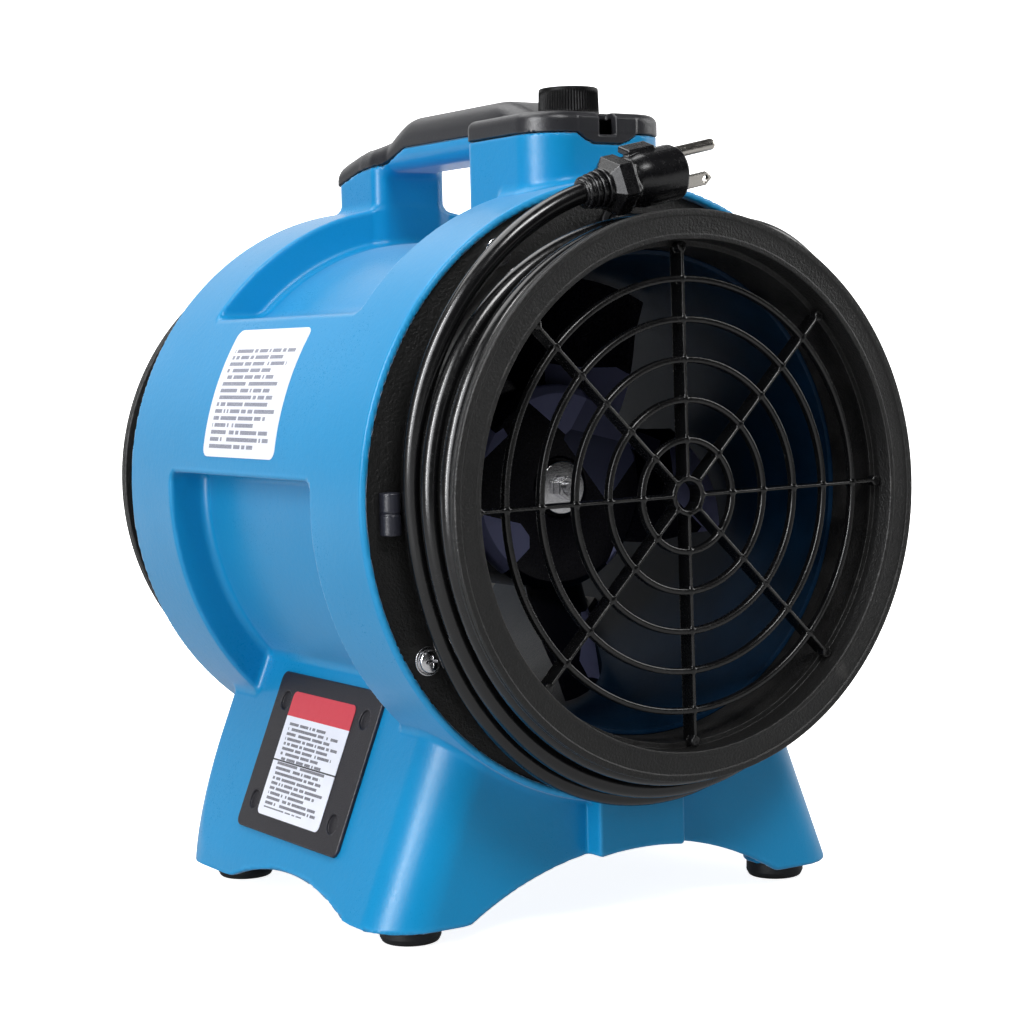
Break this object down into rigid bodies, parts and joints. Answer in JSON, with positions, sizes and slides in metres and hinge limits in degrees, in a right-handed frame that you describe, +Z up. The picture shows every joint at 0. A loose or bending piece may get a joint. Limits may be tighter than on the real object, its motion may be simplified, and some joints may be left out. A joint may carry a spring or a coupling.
{
  "type": "axial air mover",
  "caption": "Drum-shaped axial fan on a flared base with an air duct collar at each end, guard grilles, carry handle, speed knob and a cord wound round the outlet collar.",
  "frame": {"origin": "on the floor below the middle of the duct, midway between the two collar flanges", "axes": "+Z up; -Y is the outlet side that carries the wound cord and the plug; +Y is the inlet side; +X is to the right when facing the outlet"},
  "size_m": [0.2296, 0.2754, 0.31],
  "materials": {
    "blue_plastic": "satin sky-blue moulded plastic",
    "black_plastic": "fine-textured black plastic",
    "cord_black": "glossy black flexible jacket",
    "grommet_rubber": "black rubber bush",
    "foot_rubber": "matt black rubber",
    "panel_grey": "dark grey plastic plate",
    "label_white": "white printed label",
    "impeller_plastic": "dark filled plastic",
    "screw_steel": "bright plated steel",
    "screw_dark": "blackened steel",
    "shaft_steel": "ground steel",
    "core_steel": "stacked laminations",
    "copper_winding": null,
    "motor_alloy": "cast aluminium",
    "bracket_steel": "black painted steel",
    "capacitor_white": "off-white plastic can",
    "terminal_cream": "cream plastic",
    "lead_jacket": "dark lead jacket",
    "nickel_pin": "nickel-plated brass pins"
  },
  "bodies": {
    "frame": {"housing": "blue_plastic", "top_cover": "black_plastic", "cover_screws": "screw_dark", "front_collar": "black_plastic", "rear_collar": "black_plastic", "collar_screws": "screw_steel", "collar_washers": "screw_steel", "front_grille": "black_plastic", "rear_grille": "black_plastic", "rubber_feet": "foot_rubber", "foot_screws": "screw_steel", "access_panel": "panel_grey", "access_panel_screws": "screw_dark", "access_label": "label_white", "rating_label": "label_white", "front_bearing": "shaft_steel", "rear_bearing": "shaft_steel", "stator_core": "core_steel", "stator_winding": "copper_winding", "front_end_bell": "motor_alloy", "rear_end_bell": "motor_alloy", "motor_through_bolts": "screw_steel", "motor_bracket": "bracket_steel", "bracket_screws": "screw_steel", "run_capacitor": "capacitor_white", "capacitor_strap": "bracket_steel", "strap_screws": "screw_steel", "terminal_block": "terminal_cream", "terminal_screws": "screw_steel", "motor_lead": "lead_jacket", "lead_grommet": "grommet_rubber", "control_lead": "lead_jacket", "speed_control": "lead_jacket", "control_nut": "screw_steel", "power_cord": "cord_black", "cord_grommet": "grommet_rubber", "cord_anchor": "black_plastic", "plug_body": "cord_black", "plug_blades": "nickel_pin", "plug_ground_pin": "nickel_pin"},
    "rotor": {"impeller": "impeller_plastic", "impeller_washer": "screw_steel", "impeller_nut": "screw_steel", "motor_shaft": "shaft_steel", "rotor_core": "core_steel"},
    "control": {"speed_knob": "black_plastic", "control_shaft": "shaft_steel"}
  },
  "joints": [
    {"name": "rotor_spin", "type": "hinge", "parent": "frame", "child": "rotor", "pos_m": [0, 0, 0.1594], "axis": [0, 1, 0], "continuous": true},
    {"name": "knob_turn", "type": "hinge", "parent": "frame", "child": "control", "pos_m": [0, -0.0607, 0.3005], "axis": [0, 0, 1], "range_deg": [0, 300]}
  ]
}
